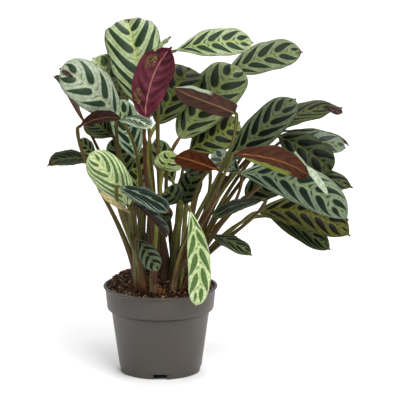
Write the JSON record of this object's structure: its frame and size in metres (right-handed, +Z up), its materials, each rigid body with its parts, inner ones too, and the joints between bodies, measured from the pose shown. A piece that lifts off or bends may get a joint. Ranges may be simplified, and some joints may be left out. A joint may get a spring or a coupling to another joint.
{
  "type": "potted calathea",
  "caption": "Bushy prayer plant with long patterned leaves on thin arching stalks, standing in peat in a round tapered plastic nursery pot",
  "frame": {"origin": "the centre of the pot's foot, on the surface that it stands on", "axes": "+Z up the pot's axis; -Y is the plant's front; +X is the side that the foliage leans to"},
  "size_m": [0.3156, 0.2399, 0.3626],
  "materials": {
    "pot": "warm grey moulded polypropylene, satin",
    "soil": "coarse dark peat with pale crumbs",
    "stalk": "olive to reddish-brown leaf stalk, satin",
    "leaf_bright": "yellow-green blade with dark green blotches in a herringbone",
    "leaf_silver": "silvery green blade with dark green blotches in a herringbone",
    "leaf_dark": "dark olive blade with darker blotches in a herringbone",
    "leaf_maroon": "blade turned to show its maroon to orange-brown underside"
  },
  "bodies": {
    "root": {"pot": "pot", "soil": "soil", "stalks_left_front": "stalk", "stalks_front": "stalk", "stalks_right_front": "stalk", "stalks_right": "stalk", "stalks_centre": "stalk", "stalks_left": "stalk", "stalks_back_left": "stalk", "stalks_back_right": "stalk", "leaf_01": "leaf_bright", "leaf_02": "leaf_maroon", "leaf_03": "leaf_silver", "leaf_04": "leaf_bright", "leaf_05": "leaf_dark", "leaf_06": "leaf_maroon", "leaf_07": "leaf_dark", "leaf_08": "leaf_silver", "leaf_09": "leaf_silver", "leaf_10": "leaf_dark", "leaf_11": "leaf_dark", "leaf_12": "leaf_bright", "leaf_13": "leaf_silver", "leaf_14": "leaf_dark", "leaf_15": "leaf_dark", "leaf_16": "leaf_dark", "leaf_17": "leaf_bright", "leaf_18": "leaf_bright", "leaf_19": "leaf_maroon", "leaf_20": "leaf_maroon", "leaf_21": "leaf_silver", "leaf_22": "leaf_bright", "leaf_23": "leaf_dark", "leaf_24": "leaf_bright", "leaf_25": "leaf_bright", "leaf_26": "leaf_dark", "leaf_27": "leaf_dark", "leaf_28": "leaf_dark", "leaf_29": "leaf_silver", "leaf_30": "leaf_dark", "leaf_31": "leaf_dark", "leaf_32": "leaf_maroon", "leaf_33": "leaf_silver", "leaf_34": "leaf_bright", "leaf_35": "leaf_dark", "leaf_36": "leaf_dark", "leaf_37": "leaf_dark", "leaf_38": "leaf_dark", "leaf_39": "leaf_dark", "leaf_40": "leaf_silver", "leaf_41": "leaf_dark", "leaf_42": "leaf_dark", "leaf_43": "leaf_dark", "leaf_44": "leaf_silver", "leaf_45": "leaf_dark", "leaf_46": "leaf_bright", "leaf_47": "leaf_dark", "leaf_48": "leaf_dark", "leaf_49": "leaf_bright"}
  },
  "joints": []
}
